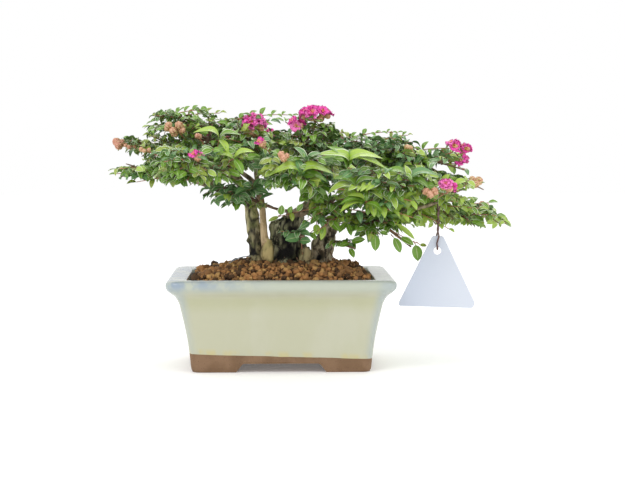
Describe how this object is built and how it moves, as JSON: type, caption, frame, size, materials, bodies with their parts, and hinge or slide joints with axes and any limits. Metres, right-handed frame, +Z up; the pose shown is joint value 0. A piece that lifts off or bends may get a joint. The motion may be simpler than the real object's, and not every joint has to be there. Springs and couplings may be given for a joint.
{
  "type": "potted crape myrtle bonsai",
  "caption": "Small crape myrtle trained as a bonsai: clumped stems, flat spreading leafy crown, pink blossom, in a rectangular glazed pot with a blank hang tag.",
  "frame": {"origin": "on the table, under the middle of the box round the whole plant and pot", "axes": "+X along the crown's longest spread, to the right as seen from the front; -Y is the front; +Z up"},
  "size_m": [0.4086, 0.242, 0.262],
  "materials": {
    "glaze": "gloss",
    "soil": "matte",
    "bark": "matte",
    "foliage": "satin",
    "tag": "satin",
    "tie": "matte"
  },
  "bodies": {
    "root": {"pot": "glaze", "soil": "soil", "trunk": "bark", "trunk_right": "bark", "stem_left": "bark", "stem_front": "bark", "stump": "bark", "bough_centre_back": "bark", "bough_centre_front": "bark", "bough_centre_top": "bark", "bough_cross": "bark", "bough_hanging": "bark", "bough_left_back": "bark", "bough_left_front": "bark", "bough_left_inner": "bark", "bough_left_low": "bark", "bough_left_tip": "bark", "bough_left_top": "bark", "bough_right_back": "bark", "bough_right_front": "bark", "bough_right_low": "bark", "bough_right_mid": "bark", "bough_right_tip": "bark", "bough_right_top": "bark", "bough_tag": "bark", "foliage_left_tip_low": "foliage", "foliage_left_tip_high": "foliage", "foliage_left_top": "foliage", "foliage_left_front": "foliage", "foliage_left_back": "foliage", "foliage_left_inner": "foliage", "foliage_left_low": "foliage", "foliage_centre_front": "foliage", "foliage_centre_top": "foliage", "foliage_centre_back": "foliage", "foliage_right_top": "foliage", "foliage_right_front": "foliage", "foliage_right_back": "foliage", "foliage_right_mid": "foliage", "foliage_right_low": "foliage", "foliage_right_tip": "foliage", "foliage_tag_shoot": "foliage", "foliage_hanging": "foliage", "foliage_right_inner": "foliage", "foliage_right_under": "foliage", "foliage_cross": "foliage", "foliage_sprig": "foliage", "foliage_sprig_right": "foliage", "tag": "tag", "tag_tie": "tie"}
  },
  "joints": []
}
